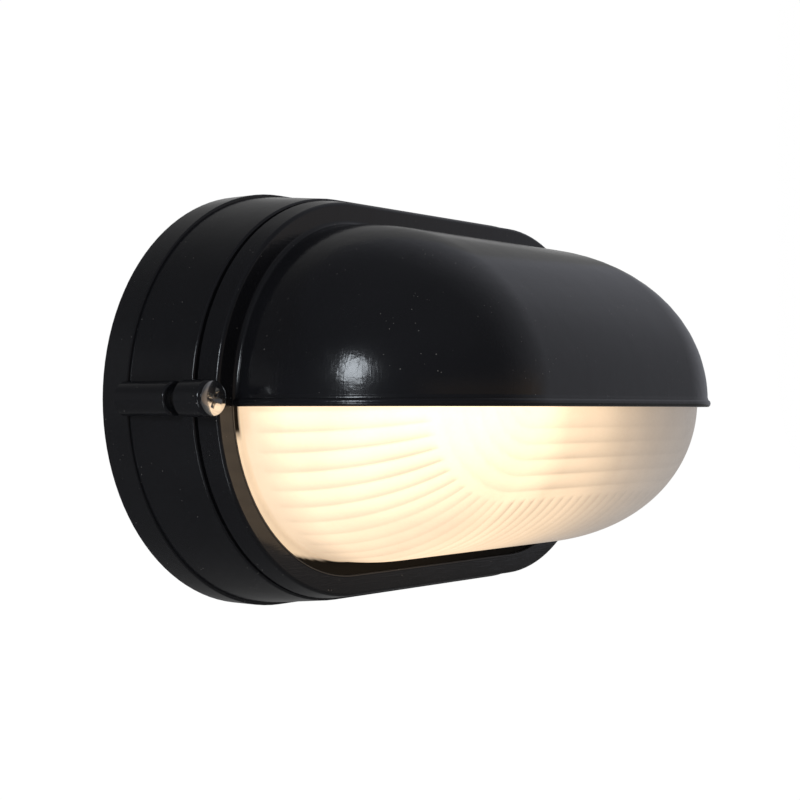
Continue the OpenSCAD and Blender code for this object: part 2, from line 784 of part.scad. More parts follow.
// Crimped ring terminal: flat ring under the washer, barrel for the lead
module earth_ring() {
    barrel_start = barrel_end - barrel_len;
    color([0.78, 0.76, 0.72]) in_wall_frame()
        translate([earth_x, earth_y, 0]) difference() {
            union() {
                translate([0, 0, post_top]) cylinder(r = small_head_r + 0.4, h = ring_t);
                translate([-ring_neck_half, -barrel_start - over, post_top])
                    cube([2 * ring_neck_half, barrel_start, ring_t]);
                translate([0, -barrel_start, barrel_axis])
                    rotate([90, 0, 0]) cylinder(r = barrel_r, h = barrel_len);
            }
            translate([0, 0, post_top - over]) cylinder(r = small_r + play, h = ring_t + 2 * over);
            translate([0, barrel_in - barrel_end, barrel_axis])
                rotate([90, 0, 0]) cylinder(r = lead_r + play, h = barrel_in + over);
        }
}

// Way out of the block for a pole's lead: straight, then down to the floor
function from_block(i) = let (x = pole_x(i), y = block_y - block_w / 2)
    [[x, y + 0.8 * lead_in, insert_axis], [x, y - 0.3 * lead_bend, insert_axis]];

// Place along a lead: so many bends along, across and off the floor from a start
function by_bends(start, along, across, up = 0) =
    [start[0], start[1], lead_floor] + lead_bend * [along, across, up];

// Place along the lane on the floor: at x, so many bends in from the lane
function in_lane(x, across) = [x, lead_lane + lead_bend * across, lead_floor];

// Way up behind the holder and into its terminal on one side
function to_holder(side) =
    let (z = lamp_axis + terminal_lead_off, spot = [holder_back_x, side * terminal_y], b = lead_bend)
    [by_bends(spot, 0.3, side * 0.3, 0.3), by_bends(spot, 1.4, 0, 2),
    [spot[0] + 1.5 * b, spot[1], z - 1.6 * b],
    [spot[0] + 0.9 * b, spot[1], z - 0.2 * b], [spot[0] + 0.2 * b, spot[1], z],
    [spot[0] - lead_in, spot[1], z]];

module earth_lead() {
    pole = [pole_x(0), block_y - block_w / 2];
    mouth = [earth_x, earth_y - barrel_end];
    color([0.35, 0.6, 0.2]) in_wall_frame()
        lead(concat(from_block(0),
            [by_bends(pole, -0.2, -1, 0.4), by_bends(pole, -1, -1.6), by_bends(pole, -2.4, -1.7),
            by_bends(mouth, 0.6, -1.9, 0.1),
            [mouth[0], mouth[1] - 0.8 * lead_bend, barrel_axis - 0.1 * lead_bend],
            [mouth[0], mouth[1], barrel_axis], [mouth[0], mouth[1] + 0.8 * barrel_in, barrel_axis]]));
}

module live_lead() {
    pole = [pole_x(2), block_y - block_w / 2];
    color([0.5, 0.28, 0.16]) in_wall_frame()
        lead(concat(from_block(2),
            [by_bends(pole, 0.3, -0.9, 0.3), by_bends(pole, 1.6, -1), in_lane(-half_straight * 0.45, 1),
            in_lane(0, 1.8), in_lane(half_straight * 0.6, 2.2), in_lane(half_straight + 2.2 * lead_bend, 3.8),
            in_lane(half_straight + 4.8 * lead_bend, 6.8), in_lane(half_straight + 6.6 * lead_bend, 9.8)],
            to_holder(1)));
}

module neutral_lead() {
    pole = [pole_x(1), block_y - block_w / 2];
    color([0.2, 0.35, 0.65]) in_wall_frame()
        lead(concat(from_block(1),
            [by_bends(pole, 0.4, -1.3, 0.3), by_bends(pole, 1.8, -1.9), in_lane(-half_straight * 0.6, 0),
            in_lane(-half_straight * 0.2, 1), in_lane(half_straight * 0.3, 1.3),
            in_lane(half_straight + lead_bend, 1.8), in_lane(half_straight + 5 * lead_bend, 3.4)],
            to_holder(-1)));
}

base_housing();
cable_grommet();
cover_gasket();
glass_bowl();
front_cover();
cover_screws();
lampholder_body();
lampholder_shell();
centre_contact();
holder_terminal_screws();
lampholder_bracket();
bracket_screws();
holder_screws();
bulb();
terminal_block();
terminal_inserts();
terminal_screws();
block_screws();
earth_screw();
earth_washer();
earth_ring();
earth_lead();
live_lead();
neutral_lead();
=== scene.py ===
import json
import math

import bmesh
import bpy
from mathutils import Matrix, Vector

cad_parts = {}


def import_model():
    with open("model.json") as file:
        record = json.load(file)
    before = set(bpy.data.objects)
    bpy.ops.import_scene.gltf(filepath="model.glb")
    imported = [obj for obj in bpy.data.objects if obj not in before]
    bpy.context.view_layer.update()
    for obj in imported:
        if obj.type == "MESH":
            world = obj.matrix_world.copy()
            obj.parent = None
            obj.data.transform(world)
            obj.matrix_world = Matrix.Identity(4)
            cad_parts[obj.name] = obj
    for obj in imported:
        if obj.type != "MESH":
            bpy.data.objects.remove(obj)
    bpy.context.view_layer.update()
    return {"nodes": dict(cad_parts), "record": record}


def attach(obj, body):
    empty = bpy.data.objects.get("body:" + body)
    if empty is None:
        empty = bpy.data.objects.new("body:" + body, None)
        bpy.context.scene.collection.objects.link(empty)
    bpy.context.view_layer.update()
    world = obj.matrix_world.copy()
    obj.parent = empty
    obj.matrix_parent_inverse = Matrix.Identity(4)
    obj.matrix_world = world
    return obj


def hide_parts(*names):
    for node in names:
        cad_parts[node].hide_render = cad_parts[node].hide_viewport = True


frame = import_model()
solids = frame["nodes"]
scene = bpy.context.scene
MM = 0.001

# Sizes of the solids in millimetres: depths count from the wall, radii from the oval's middle line
HALF_STRAIGHT = 44.6
SKIRT_BACK, SKIRT_D = 36.1, 7.1
BEZEL_FRONT = SKIRT_BACK + SKIRT_D
HOOD_R, HOOD_D, HOOD_T, HOOD_POWER = 55.2, 72.5, 2.2, 2.1
HOOD_DROP, BEAD_H, BEAD_PROUD = 2.2, 2.2, 0.8
OPENING_EASE, EAR_PROUD, SCREW_R = 0.5, 3.1, 67.6
OPENING_R = HOOD_R + OPENING_EASE
GLASS_T, GLASS_GAP, NOSE_GAP = 4.0, 1.6, 2.0
GLASS_R, GLASS_D = HOOD_R - HOOD_T - GLASS_GAP, HOOD_D - HOOD_T - NOSE_GAP
GLASS_IN_R, GLASS_IN_D = GLASS_R - GLASS_T, GLASS_D - GLASS_T
GLASS_RIM_R, GLASS_RIM_T = 60.2, 4.3
BOWL_POWER = HOOD_POWER + 0.1
SCREW_X = HALF_STRAIGHT + SCREW_R
EAR_FRONT = BEZEL_FRONT + EAR_PROUD
HEAD_R = 5.0
SHANK_R, SHANK_LEN = 2.5, 30.0

# Ringed front panel of the visible glass: its radius, and how much more it has at the ends
PANEL_R, PANEL_GROW = 29.7, 3.6
# Outer ring on the panel in the same way, and the step from ring to ring
RING_R, RING_GROW, RING_PITCH = 27.2, 4.0, 4.7
# Flutes round each end and along each side, and the share of a flute by which they are shifted
END_FLUTES, END_SHIFT = 26, 0.55
SIDE_FLUTES, SIDE_SHIFT = 16, 0.75
# Depth of the ribs, the place in front of the bezel where flutes start, and lengths over which ribs fade
RIB_H = 0.8
FLUTE_START, FLUTE_FADE, FLUTE_END_FADE = 2.6, 1.8, 1.6
RING_FADE, PLAIN_R, PLAIN_FADE = 1.2, 4.0, 2.0
# Painted light through one rib: the share of its width where it rises, and the power of its fall
LENS_RISE, LENS_POWER = 0.16, 2.2

# Trim laid over the solids, and the screws' heads
EDGE_R, EDGE_SINK = 0.55, 0.85
BEAD_TALLER, BEAD_PROUDER, BEAD_BACK, BEAD_SINK = 0.12, 0.16, 1.3, 0.8
BEAD_FILLET = ((-0.05, 1.0), (0.06, 0.55), (0.2, 0.2))
HEAD_H, HEAD_SIDE, DOME_POWER, DOME_ROUND = 1.15, 0.5, 2.6, 1.9
CROSS_ARM, CROSS_REACH, CROSS_DEPTH, CROSS_LIP, CROSS_TURN = 0.7, 2.9, 1.6, 0.1, math.radians(-22)

# The photo's camera, fitted to the outlines: widths in pixels, the sensor in millimetres, places in metres
PHOTO_PX, FOCAL_PX, SHIFT_PX, SENSOR = 800, 1559.96, 9.74, 36.0
CAMERA_PLACE, CAMERA_WAY = (-0.428476, -0.357635, -0.00325), (0.79133, 0.61139, 0.0)

# Range in which most of a noise lies
MOST = (0.3, 0.7)


# Materials

class Nodes:
    """Short calls for building the nodes of a material or the world."""

    def __init__(self, owner, space="Object"):
        owner.use_nodes = True
        self.owner = owner
        self.tree = owner.node_tree
        self.bsdf = self.tree.nodes.get("Principled BSDF")
        self.coord = self.new("ShaderNodeTexCoord").outputs[space]

    def new(self, kind, **settings):
        node = self.tree.nodes.new(kind)
        for key, value in settings.items():
            setattr(node, key, value)
        return node

    def feed(self, socket, value):
        """Links a socket to an output, or sets it to a constant."""
        if isinstance(value, bpy.types.NodeSocket):
            self.tree.links.new(value, socket)
        else:
            socket.default_value = value

    def math(self, operation, a, b, c=0.0):
        node = self.new("ShaderNodeMath", operation=operation)
        for socket, value in zip(node.inputs, (a, b, c)):
            self.feed(socket, value)
        return node.outputs[0]

    def axes(self):
        """Outputs X, Y and Z of the coordinates."""
        node = self.new("ShaderNodeSeparateXYZ")
        self.feed(node.inputs[0], self.coord)
        return node.outputs

    def noise(self, scale, detail=2.0, rough=0.5, vector=None):
        node = self.new("ShaderNodeTexNoise")
        self.feed(node.inputs["Vector"], vector or self.coord)
        node.inputs["Scale"].default_value = scale
        node.inputs["Detail"].default_value = detail
        node.inputs["Roughness"].default_value = rough
        return node.outputs["Fac"]

    def lines(self, scales, detail=1.0, rough=0.5):
        """Noise with a scale for each axis, so that it runs out into lines."""
        node = self.new("ShaderNodeVectorMath", operation="MULTIPLY")
        self.feed(node.inputs[0], self.coord)
        self.feed(node.inputs[1], scales)
        return self.noise(1.0, detail, rough, node.outputs["Vector"])

    def ramp(self, fac, first, last, places=MOST):
        """Colour from first to last between two places."""
        node = self.new("ShaderNodeValToRGB")
        self.feed(node.inputs["Fac"], fac)
        for stop, place, colour in zip(node.color_ramp.elements, places, (first, last)):
            stop.position = place
            stop.color = (*colour, 1.0)
        return node.outputs["Color"]

    def spread(self, fac, given, wanted=(0.0, 1.0)):
        """Smooth step that turns the given range into the wanted one."""
        node = self.new("ShaderNodeMapRange", interpolation_type="SMOOTHSTEP")
        self.feed(node.inputs["Value"], fac)
        for key, value in zip(("From Min", "From Max", "To Min", "To Max"), (*given, *wanted)):
            node.inputs[key].default_value = value
        return node.outputs["Result"]

    def mix(self, fac, a, b):
        node = self.new("ShaderNodeMix", data_type="RGBA")
        self.feed(node.inputs["Factor"], fac)
        self.feed(node.inputs[6], (*a, 1.0) if isinstance(a, tuple) else a)
        self.feed(node.inputs[7], (*b, 1.0) if isinstance(b, tuple) else b)
        return node.outputs[2]

    def bump(self, height, strength, distance):
        node = self.new("ShaderNodeBump")
        node.inputs["Strength"].default_value = strength
        node.inputs["Distance"].default_value = distance
        self.feed(node.inputs["Height"], height)
        self.feed(self.bsdf.inputs["Normal"], node.outputs["Normal"])

    def set(self, **values):
        for key, value in values.items():
            self.feed(self.bsdf.inputs[key.replace("_", " ")], value)


def scaled(colour, factor):
    """Colour made darker or lighter."""
    return tuple(min(1.0, part * factor) for part in colour)


def powder_coat():
    """Gloss black coat on a casting: an uneven flow, wiping marks, fine orange peel and specks of dust."""
    dark, light, dust_grey = (0.0125, 0.0125, 0.0145), (0.017, 0.017, 0.0195), (0.34, 0.32, 0.29)
    wiped, dust_cover, dust_height, peel_gloss, peel_height = (0.45, 0.72), 0.8, 0.2, 0.4, 0.04
    m = Nodes(bpy.data.materials.new("black_coat"))
    flow = m.noise(120.0)
    peel = m.noise(1100.0, rough=0.55)
    broad = m.noise(28.0)
    marks_down = m.spread(m.lines((1100.0, 1100.0, 130.0)), wiped, (0.0, 0.11))
    marks_along = m.spread(m.lines((130.0, 600.0, 1100.0)), wiped, (0.0, 0.09))
    cells = m.new("ShaderNodeTexVoronoi")
    m.feed(cells.inputs["Vector"], m.coord)
    cells.inputs["Scale"].default_value = 460.0
    dust = m.spread(cells.outputs["Distance"], (0.05, 0.1), (1.0, 0.0))
    dusty = m.spread(m.noise(70.0, 1.0), (0.45, 0.65))
    specks = m.math("MULTIPLY", dust, dusty)
    m.set(Base_Color=m.mix(m.math("MULTIPLY", specks, dust_cover), m.ramp(broad, dark, light), dust_grey))
    m.set(Roughness=m.spread(m.math("MULTIPLY_ADD", peel, peel_gloss, broad), (0.3, 1.1), (0.11, 0.18)))
    m.set(Specular_IOR_Level=0.42, Coat_Weight=0.15, Coat_Roughness=0.24)
    fine = m.math("MULTIPLY_ADD", peel, peel_height, m.math("ADD", marks_down, marks_along))
    height = m.math("ADD", fine, m.math("MULTIPLY_ADD", specks, dust_height, flow))
    m.bump(height, strength=0.25, distance=0.0003)
    return m.owner


def moulded(name, colour, rough, grain, depth=0.00008, vary=0.25):
    """Plain material with a fine grain, uneven gloss and a little colour variation."""
    m = Nodes(bpy.data.materials.new(name))
    fine = m.noise(grain, 3.0, 0.6)
    broad = m.noise(grain / 14)
    m.set(Base_Color=m.ramp(broad, scaled(colour, 1 - vary), scaled(colour, 1 + vary * 0.4)))
    m.set(Roughness=m.spread(fine, MOST, (rough * 0.8, rough * 1.2)))
    m.bump(fine, strength=0.15, distance=depth)
    return m.owner


def turned_metal(name, colour, rough):
    """Metal with fine lines drawn along one way, and faint stains."""
    m = Nodes(bpy.data.materials.new(name))
    lines = m.lines((900.0, 140.0, 900.0), 4.0, 0.7)
    stain = m.noise(160.0, 3.0)
    m.set(Base_Color=m.ramp(stain, scaled(colour, 0.72), colour, (0.35, 0.65)), Metallic=1.0)
    m.set(Roughness=m.spread(lines, MOST, (rough * 0.7, rough * 1.4)))
    m.bump(lines, strength=0.12, distance=0.00005)
    return m.owner


def sleeve(name, colour, stripe=None):
    """Lead insulation: a soft sheen and a fine braid, with patches of a second colour if it has one."""
    m = Nodes(bpy.data.materials.new(name))
    braid = m.new("ShaderNodeTexWave", wave_type="BANDS", bands_direction="DIAGONAL")
    m.feed(braid.inputs["Vector"], m.coord)
    braid.inputs["Scale"].default_value = 520.0
    braid.inputs["Distortion"].default_value = 1.2
    weave = braid.outputs["Fac"]
    cover = m.ramp(weave, scaled(colour, 0.7), colour, (0.2, 0.8))
    if stripe:
        cover = m.mix(m.spread(m.noise(150.0, 0.0), (0.47, 0.53)), cover, stripe)
    m.set(Base_Color=cover)
    m.set(Roughness=m.spread(weave, (0.0, 1.0), (0.45, 0.65)))
    m.bump(weave, strength=0.2, distance=0.00015)
    return m.owner


def frosted_glass():
    """Frosted pressed glass with the lamp's light painted in as emission: the mesh carries the painted glow,
    with its painted shade and the ribs' painted lines, in a point attribute.
    """
    warm, lampholder_shade, warm_to_shaded = (1.0, 0.725, 0.465), (0.585, 0.52, 0.465), (-0.012, 0.06)
    frost, pale_frost, unlit = (0.36, 0.355, 0.34), (0.42, 0.415, 0.40), (0.004, 0.0035, 0.003)
    m = Nodes(bpy.data.materials.new("frosted_glass"))
    painted_glow = m.new("ShaderNodeAttribute", attribute_name="painted_glow").outputs["Fac"]
    # Painted shadow: the emission turns from warm to grey towards the lampholder's end.
    tint = m.mix(m.spread(m.axes()["X"], warm_to_shaded), warm, lampholder_shade)
    grain = m.spread(m.noise(900.0, 3.0), MOST, (0.985, 1.015))
    cloud = m.spread(m.noise(55.0), MOST, (0.97, 1.03))
    # Painted light: emission from the painted glow stands in for the lamp's light through the glass.
    painted_emission = m.new("ShaderNodeVectorMath", operation="SCALE")
    m.feed(painted_emission.inputs[0], tint)
    m.feed(painted_emission.inputs["Scale"], m.math("MULTIPLY", painted_glow, m.math("MULTIPLY", grain, cloud)))
    m.set(Emission_Color=painted_emission.outputs[0], Emission_Strength=1.0)
    # Painted shade: the base colour goes dark where the painted glow is low, on the unlit rim and inside.
    lit = m.spread(painted_glow, (0.02, 0.2))
    m.set(Base_Color=m.mix(lit, unlit, m.ramp(m.noise(60.0), frost, pale_frost)))
    gloss = m.math("MULTIPLY", lit, m.spread(m.noise(700.0), MOST, (0.64, 0.52)))
    m.set(Roughness=m.math("SUBTRACT", 1.0, gloss))
    m.bump(m.noise(1500.0), strength=0.2, distance=0.00006)
    return m.owner


def lamp_glass():
    """Pearl lamp, lit."""
    m = Nodes(bpy.data.materials.new("lamp_glass"))
    cloud = m.noise(90.0)
    m.set(Base_Color=m.ramp(cloud, (0.9, 0.86, 0.78), (0.95, 0.92, 0.85)))
    m.set(Roughness=m.spread(cloud, MOST, (0.3, 0.42)))
    m.set(Emission_Color=m.ramp(cloud, (1.0, 0.8, 0.5), (1.0, 0.86, 0.6), (0.2, 0.8)))
    m.set(Emission_Strength=3.0)
    return m.owner


MATERIALS = {
    "black_coat": powder_coat(),
    "frosted_glass": frosted_glass(),
    "lamp_glass": lamp_glass(),
    "black_rubber": moulded("black_rubber", (0.014, 0.014, 0.014), 0.75, 700.0),
    "stainless": turned_metal("stainless", (0.70, 0.69, 0.67), 0.11),
    "zinc_steel": turned_metal("zinc_steel", (0.50, 0.51, 0.53), 0.34),
    "porcelain": moulded("porcelain", (0.82, 0.79, 0.72), 0.18, 260.0, 0.00005, vary=0.08),
    "brass": turned_metal("brass", (0.72, 0.52, 0.22), 0.3),
    "white_moulding": moulded("white_moulding", (0.78, 0.76, 0.70), 0.5, 600.0, vary=0.1),
    "brown_sleeve": sleeve("brown_sleeve", (0.20, 0.085, 0.035)),
    "blue_sleeve": sleeve("blue_sleeve", (0.035, 0.09, 0.33)),
    "green_sleeve": sleeve("green_sleeve", (0.10, 0.30, 0.05), (0.62, 0.52, 0.05)),
}
SLOT_OF = {s["node"]: s["material_slot"] for s in frame["record"]["subparts"]}


# Smoothing for the solids' meshes

def smoothing_group(weld_gap=2e-6, sharp_from=math.radians(28)):
    """Welds the split faces of a solid's mesh and shades it smooth except at sharp edges."""
    group = bpy.data.node_groups.new("smooth_solid", "GeometryNodeTree")
    group.interface.new_socket("Geometry", in_out="INPUT", socket_type="NodeSocketGeometry")
    group.interface.new_socket("Geometry", in_out="OUTPUT", socket_type="NodeSocketGeometry")
    new, link = group.nodes.new, group.links.new
    start, end = new("NodeGroupInput"), new("NodeGroupOutput")
    bare = new("GeometryNodeRemoveAttribute")
    bare.inputs["Name"].default_value = "custom_normal"
    weld = new("GeometryNodeMergeByDistance")
    weld.inputs["Distance"].default_value = weld_gap
    faces = new("GeometryNodeSetShadeSmooth")
    faces.domain = "FACE"
    faces.inputs["Shade Smooth"].default_value = True
    edges = new("GeometryNodeSetShadeSmooth")
    edges.domain = "EDGE"
    angle = new("GeometryNodeInputMeshEdgeAngle")
    soft = new("FunctionNodeCompare")
    soft.data_type, soft.operation = "FLOAT", "LESS_THAN"
    soft.inputs[1].default_value = sharp_from
    link(start.outputs[0], bare.inputs[0])
    link(bare.outputs[0], weld.inputs[0])
    link(weld.outputs[0], faces.inputs[0])
    link(faces.outputs[0], edges.inputs[0])
    link(angle.outputs["Unsigned Angle"], soft.inputs[0])
    link(soft.outputs[0], edges.inputs["Shade Smooth"])
    link(edges.outputs[0], end.inputs[0])
    return group


SMOOTH = smoothing_group()
for name, obj in solids.items():
    obj.data.materials.clear()
    obj.data.materials.append(MATERIALS[SLOT_OF[name]])
    obj.modifiers.new("smooth", "NODES").node_group = SMOOTH
    weighted = obj.modifiers.new("weighted", "WEIGHTED_NORMAL")
    weighted.keep_sharp = True


# Mesh helpers

# Points nearer than this are welded, and shorter edges dissolved, in metres
WELD, SLIVER = 1e-6, 1e-7


def piece(name, verts, faces, slot, stands_for, sharp, values=None):
    """New mesh object from points in millimetres, on the body, standing for a node if it names one."""
    mesh = bpy.data.meshes.new(name)
    mesh.from_pydata([Vector(v) * MM for v in verts], [], faces)
    for label, numbers in (values or {}).items():
        mesh.attributes.new(label, "FLOAT", "POINT").data.foreach_set("value", numbers)
    bm = bmesh.new()
    bm.from_mesh(mesh)
    bmesh.ops.remove_doubles(bm, verts=bm.verts, dist=WELD)
    bmesh.ops.dissolve_degenerate(bm, edges=bm.edges, dist=SLIVER)
    bmesh.ops.recalc_face_normals(bm, faces=bm.faces)
    for face in bm.faces:
        face.smooth = True
    bm.to_mesh(mesh)
    bm.free()
    mesh.set_sharp_from_angle(angle=math.radians(sharp))
    mesh.materials.append(MATERIALS[slot])
    obj = bpy.data.objects.new(name, mesh)
    scene.collection.objects.link(obj)
    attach(obj, "root")
    if stands_for:
        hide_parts(*stands_for)


def skin(columns, rows, start=0, closed=True, ring=True):
    """Faces between neighbouring columns of points: closed joins last column to first, ring joins rows."""
    faces = []
    for i in range(columns if closed else columns - 1):
        a, b = start + i * rows, start + (i + 1) % columns * rows
        for k in range(rows if ring else rows - 1):
            n = (k + 1) % rows
            faces.append((a + k, b + k, b + n, a + n))
    return faces


def rod(columns, rows):
    """Faces of a rod with flat ends, from the columns of points round its sections."""
    ends = [tuple(range(rows)), tuple(range((columns - 1) * rows, columns * rows))]
    return skin(columns, rows, closed=False) + ends


def squared_ellipse(r, d, power, a):
    """Radius and depth of a point on a bowl or hood of radius r that stands d out from the bezel."""
    return r * max(math.cos(a), 0.0) ** (2 / power), BEZEL_FRONT + d * math.sin(a) ** (2 / power)


def limit(t):
    return min(max(t, 0.0), 1.0)


def ease(t):
    """Smooth step from 0 to 1."""
    t = limit(t)
    return t * t * (3 - 2 * t)


def between(x, table):
    """Straight-line reading of a table of (place, value)."""
    for (x0, v0), (x1, v1) in zip(table, table[1:]):
        if x <= x1:
            return v0 + (v1 - v0) * max(0.0, (x - x0) / (x1 - x0))
    return table[-1][1]


# Glass: places of the ribs

# Shares of a flute's width at which the mesh has points
END_TIMES = (0.0, 0.05, 0.1, 0.17, 0.3, 0.45, 0.6, 0.75, 0.88, 0.95)
SIDE_TIMES = (0.0, 0.06, 0.13, 0.22, 0.4, 0.6, 0.8, 0.93)


def shares(count, times, shift):
    """Places along an end or a side (0 to 1), each with its share of a flute."""
    places = [((k + t + shift) / count, t) for k in range(-1, count) for t in times]
    return [(s, t) for s, t in places if 0 <= s < 1]


def stations():
    """Places round the oval: (centre's x, direction's x and z, share of a flute)."""
    out = []
    for side, turn in ((-1, 0.5), (1, 1.5)):
        for s, t in shares(END_FLUTES, END_TIMES, END_SHIFT):
            a = math.pi * (turn + s)
            out.append((side * HALF_STRAIGHT, math.cos(a), math.sin(a), t))
        for s, t in shares(SIDE_FLUTES, SIDE_TIMES, SIDE_SHIFT):
            out.append((side * HALF_STRAIGHT * (1 - 2 * s), 0.0, side, t))
    return out


def panel_edge(ux):
    """Radius of the ringed front panel, longer at the ends."""
    return PANEL_R + PANEL_GROW * ux * ux


def rib_at(r, depth, t, ux):
    """How deep a rib is cut inside the glass (0 to 1), and how much painted light its lens puts on the
    outside (0 to 1).
    """
    edge = panel_edge(ux)
    if r > edge:
        fade = ease((depth - BEZEL_FRONT - FLUTE_START) / FLUTE_FADE) * ease((r - edge) / FLUTE_END_FADE)
    else:
        t = ((r - RING_R - RING_GROW * ux * ux) / RING_PITCH) % 1.0
        fade = ease((edge - r) / RING_FADE) * ease((r - PLAIN_R) / PLAIN_FADE)
    fall = max(t - LENS_RISE, 0.0) / (1 - LENS_RISE)
    lens = ease(t / LENS_RISE) if t < LENS_RISE else 1 - fall ** LENS_POWER
    return fade * (0.5 + 0.5 * math.cos(2 * math.pi * t)), 1 - fade * (1 - lens)


# Glass: the lamp's light painted on it as emission, as tables of (place in millimetres, value)

# Along the light's length: painted light brightest in front of the globe, grey in the lampholder's painted
# shadow
PAINTED_GLOW = [(-92, 1.5), (-88, 1.73), (-82, 1.96), (-76, 2.0), (-67, 1.91), (-57, 1.87), (-45, 1.8),
        (-37, 1.6), (-26, 1.18), (-15, 1.0), (-3, 0.82), (10, 0.61), (23, 0.52), (40, 0.48), (96, 0.51)]
# Painted shade: share that is lost towards the bottom, along the length, and the heights between which it
# grows
PAINTED_SHADE_BELOW = [(-93, 0.25), (-86, 0.38), (-60, 0.48), (-40, 0.33), (-15, 0.04), (10, -0.18)]
FALL_FROM, FALL_OVER = 3, 33
# Painted shade at the foot of the bowl: the share that is left there, and the depth over which it comes back
FOOT_LEFT, FOOT_OVER = 0.62, 16
# How dark the painted shade lines of flutes and rings are, along the length and downwards
FLUTE_ALONG = [(-82, 1.0), (-60, 0.85), (-40, 0.85), (-10, 0.62), (15, 0.4), (40, 0.2)]
FLUTE_BELOW = [(2, 0.08), (8, 0.28), (15, 0.42), (30, 0.5), (36, 0.35), (44, 0.2)]
RING_ALONG = [(-70, 0.15), (-45, 0.3), (-22, 0.5), (0, 0.3), (30, 0.1)]
RING_BELOW = [(2, 0.2), (10, 0.35), (18, 0.6), (28, 0.6)]
# Left of a place a flute's line is no darker than a level or a share of the light, and then less held back
BRIGHT_TO, BRIGHT_FADE, LINE_LEVEL, LINE_SHARE = -50, 30, 0.93, 0.14
# Rim: the radius to which its painted light reaches, by the downward part of its direction
RIM_LIT = [(0.70, GLASS_R + 6.0), (0.85, GLASS_R + 3.8), (0.99, GLASS_R - 0.5)]
# Rim: the painted glow of its dark part, the fade at the lit radius, and where its painted light starts and
# ends
RIM_DARK, RIM_FADE = 0.006, 1.2
RIM_FROM, RIM_GROW, RIM_TO = 0.17, 0.08, 0.1


def painted_glow_at(x, z, depth, flute, lens):
    """Painted brightness of the glass's outside, with painted shade at the foot and towards the bottom, and
    the ribs' painted lines.
    """
    down = limit((-z - FALL_FROM) / FALL_OVER)
    out = limit((depth - BEZEL_FRONT) / FOOT_OVER)
    level = between(x, PAINTED_GLOW) * (1 - between(x, PAINTED_SHADE_BELOW) * down)
    level *= FOOT_LEFT + (1 - FOOT_LEFT) * out
    if flute:
        lines = between(x, FLUTE_ALONG) * between(-z, FLUTE_BELOW)
        lines = min(lines, max(1 - LINE_LEVEL / level, LINE_SHARE) + ease((x - BRIGHT_TO) / BRIGHT_FADE))
    else:
        lines = between(x, RING_ALONG) * between(-z, RING_BELOW)
    return level * (1 - lines * (1 - lens))


def painted_rim_glow(ux, uz, r):
    """Share of the lamp's light painted on the rim: most round the lower left."""
    if ux >= RIM_TO:
        return RIM_DARK
    lit = ease((between(-uz, RIM_LIT) - r) / RIM_FADE + 0.5)
    return RIM_DARK + (1 - RIM_DARK) * ease((-uz - RIM_FROM) / RIM_GROW) * lit


# Glass: its mesh

# Rows of the mesh across one ring, in millimetres, the count of rings and the least radius of a row
RING_ROWS, RINGS, RING_LEAST_R = (0.0, 0.25, 0.55, 1.0, 1.8, 2.8, 3.7, 4.35), 6, 0.5
# Rows outside the panel's edge, down the side and inside the bowl
PANEL_STEP, PANEL_ROWS, SIDE_ROWS, INNER_ROWS = 0.8, 5, 30, 24
# Rows on the rim's front, the rounding of its edges, and the rounding at the bowl's foot as (out, up)
RIM_ROWS, RIM_ROUND = (4.8, 4.1, 3.4, 2.7, 2.0, 1.2), 0.6
FOOT_ROUND = ((0.35, 0.3), (0.0, 0.9))


def bowl_angle(r):
    return math.acos((r / GLASS_R) ** (BOWL_POWER / 2))


def glass_section():
    """Section of the bowl, round its rim, over the outside and back inside: (radius, depth, face)."""
    back, front = SKIRT_BACK, SKIRT_BACK + GLASS_RIM_T
    rows = [(GLASS_IN_R, back, "in"), (GLASS_RIM_R - RIM_ROUND, back, "rim"),
            (GLASS_RIM_R, back + RIM_ROUND, "rim"), (GLASS_RIM_R, front - RIM_ROUND, "rim"),
            (GLASS_RIM_R - RIM_ROUND, front, "rim")]
    rows += [(GLASS_R + out, front, "rim") for out in RIM_ROWS]
    rows += [(GLASS_R + out, front + up, "rim" if out else "out") for out, up in FOOT_ROUND]
    rings = [RING_R - RING_PITCH * k + o for k in range(RINGS) for o in RING_ROWS]
    rings = [r for r in rings if RING_LEAST_R < r < PANEL_R]
    rings += [PANEL_R + PANEL_STEP * k for k in range(1, PANEL_ROWS + 1)]
    sides = [bowl_angle(PANEL_R) * i / SIDE_ROWS for i in range(SIDE_ROWS + 1)]
    outer = sorted([bowl_angle(r) for r in rings] + [0.5 * math.pi] + sides)
    inner = [0.5 * math.pi * i / INNER_ROWS for i in range(INNER_ROWS + 1)]
    rows += [(*squared_ellipse(GLASS_R, GLASS_D, BOWL_POWER, a), "out") for a in outer]
    rows += [(*squared_ellipse(GLASS_IN_R, GLASS_IN_D, BOWL_POWER, a), "in") for a in reversed(inner)]
    return rows


def build_glass():
    """Pressed bowl: smooth outside, fluted inside, with rings on the inside of its front."""
    columns, rows = stations(), glass_section()
    verts, painted_glow = [], []
    for cx, ux, uz, t in columns:
        for r, d, face in rows:
            cut, lens = (0.0, 1.0) if face == "rim" else rib_at(r, d, t, ux)
            grow = RIB_H * cut if face == "in" else 0.0
            flute = r > panel_edge(ux)
            out = r + (grow if flute else 0.0)
            depth = d + (0.0 if flute else grow)
            x, z = cx + out * ux, out * uz
            verts.append((x, -depth, z))
            # Painted light: each outside point keeps the lamp's painted glow, a rim point its painted share,
            # an inside point none.
            share = painted_rim_glow(ux, uz, r) if face == "rim" else float(face == "out")
            painted_glow.append(share * painted_glow_at(x, z, d, flute, lens))
    faces = skin(len(columns), len(rows))
    piece("pressed_glass", verts, faces, "frosted_glass", ["glass_bowl"], sharp=50, values={"painted_glow": painted_glow})


# Screws, bead and opening's edge

